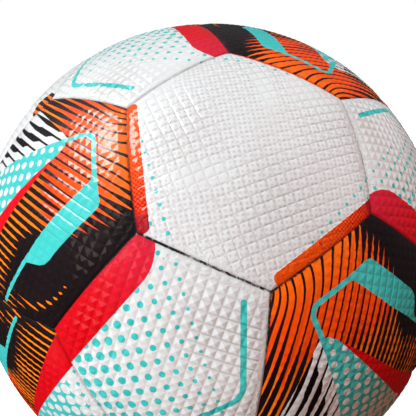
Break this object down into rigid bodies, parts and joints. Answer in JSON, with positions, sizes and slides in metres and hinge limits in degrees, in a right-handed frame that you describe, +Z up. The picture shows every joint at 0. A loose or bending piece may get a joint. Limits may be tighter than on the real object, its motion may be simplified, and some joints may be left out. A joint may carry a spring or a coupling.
{
  "type": "soccer ball",
  "caption": "Inflated match ball with a cover of white pentagon and printed hexagon panels, foam pads, wound carcass, bladder and needle valve.",
  "frame": {"origin": "centre of the ball", "axes": "+Z up, +Y outwards along the valve's axis, +X to the right seen from the side opposite the valve"},
  "size_m": [0.22, 0.2199, 0.22],
  "materials": {
    "white_cover": "semi-gloss embossed polyurethane skin with a red and teal print",
    "orange_cover": "semi-gloss embossed polyurethane skin with an orange, black and teal print",
    "adhesive": "dark cured glue",
    "foam": "closed-cell foam with a fine skin",
    "backing_cloth": "plain-woven polyester cloth",
    "yarn": "wound nylon yarn set in latex",
    "bladder_rubber": "smooth moulded butyl",
    "valve_rubber": "moulded rubber",
    "core_rubber": "soft greased rubber"
  },
  "bodies": {
    "root": {"valve_panel": "white_cover", "pentagon_panel_1": "white_cover", "pentagon_panel_2": "white_cover", "pentagon_panel_3": "white_cover", "pentagon_panel_4": "white_cover", "pentagon_panel_5": "white_cover", "pentagon_panel_6": "white_cover", "pentagon_panel_7": "white_cover", "pentagon_panel_8": "white_cover", "pentagon_panel_9": "white_cover", "pentagon_panel_10": "white_cover", "pentagon_panel_11": "white_cover", "hexagon_panel_1": "orange_cover", "hexagon_panel_2": "white_cover", "hexagon_panel_3": "orange_cover", "hexagon_panel_4": "white_cover", "hexagon_panel_5": "orange_cover", "hexagon_panel_6": "white_cover", "hexagon_panel_7": "orange_cover", "hexagon_panel_8": "orange_cover", "hexagon_panel_9": "orange_cover", "hexagon_panel_10": "white_cover", "hexagon_panel_11": "orange_cover", "hexagon_panel_12": "orange_cover", "hexagon_panel_13": "white_cover", "hexagon_panel_14": "white_cover", "hexagon_panel_15": "orange_cover", "hexagon_panel_16": "orange_cover", "hexagon_panel_17": "white_cover", "hexagon_panel_18": "orange_cover", "hexagon_panel_19": "orange_cover", "hexagon_panel_20": "white_cover", "seam_adhesive": "adhesive", "pentagon_foam_pads": "foam", "hexagon_foam_pads": "foam", "pentagon_backing_cloths": "backing_cloth", "hexagon_backing_cloths": "backing_cloth", "yarn_carcass": "yarn", "bladder": "bladder_rubber", "valve_housing": "valve_rubber", "valve_core": "core_rubber", "valve_patch": "backing_cloth"}
  },
  "joints": []
}
